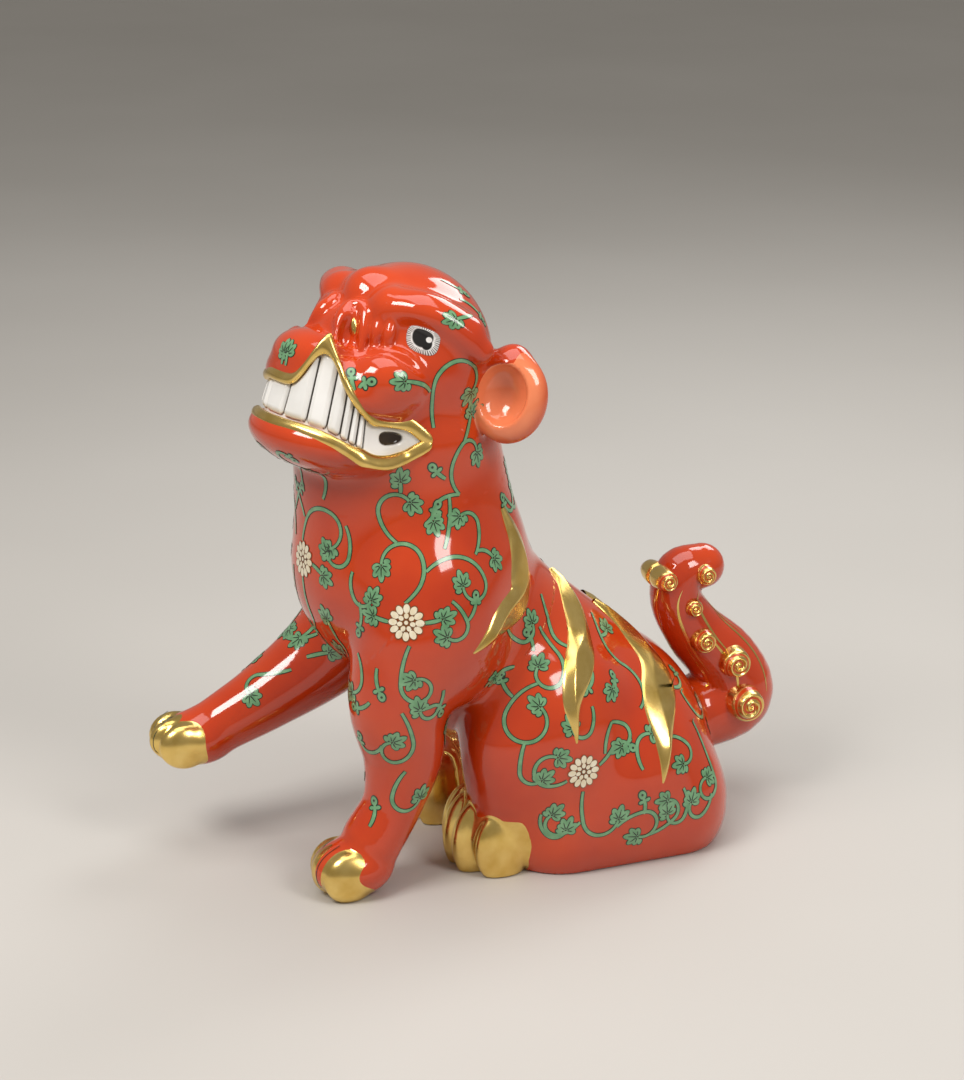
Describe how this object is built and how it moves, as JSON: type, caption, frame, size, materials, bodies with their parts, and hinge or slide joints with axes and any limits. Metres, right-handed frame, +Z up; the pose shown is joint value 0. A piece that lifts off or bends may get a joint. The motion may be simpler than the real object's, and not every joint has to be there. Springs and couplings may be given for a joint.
{
  "type": "foo dog statue",
  "caption": "Seated guardian lion-dog figurine in red-glazed, gilded porcelain, one foreleg raised, head turned, teeth bared, curled tail; stands on its base as an ornament",
  "frame": {"origin": "Centre of the footprint box, on the ground the statue sits on", "axes": "+Z up; the dog faces -Y; +X is the dog's own left side, which carries the planted foreleg"},
  "size_m": [0.083, 0.183, 0.1693],
  "materials": {
    "red_glaze": "glossy overglaze red",
    "gilding": "burnished gold over glaze",
    "ear_glaze": "glossy peach wash",
    "tooth_glaze": "clear glaze over white body",
    "eye_glaze": "clear glaze with painted lashes and pupil"
  },
  "bodies": {
    "root": {"torso": "red_glaze", "head": "red_glaze", "upper_lip": "gilding", "lower_lip": "gilding", "teeth_row": "tooth_glaze", "ear_left": "ear_glaze", "ear_right": "ear_glaze", "eye_left": "eye_glaze", "eye_right": "eye_glaze", "foreleg_left": "red_glaze", "foreleg_right": "red_glaze", "forepaw_left": "gilding", "forepaw_right": "gilding", "hindpaw_left": "gilding", "hindpaw_right": "gilding", "tail_plume": "red_glaze", "tail_curl_left_1": "gilding", "tail_curl_left_2": "gilding", "tail_curl_left_3": "gilding", "tail_curl_left_4": "gilding", "tail_curl_left_5": "gilding", "tail_curl_left_6": "gilding", "tail_curl_right_1": "gilding", "tail_curl_right_2": "gilding", "tail_curl_right_3": "gilding", "tail_curl_right_4": "gilding", "tail_curl_right_5": "gilding", "tail_curl_right_6": "gilding", "flame_left_1": "gilding", "flame_left_2": "gilding", "flame_left_3": "gilding", "flame_right_1": "gilding", "flame_right_2": "gilding", "flame_right_3": "gilding"}
  },
  "joints": []
}
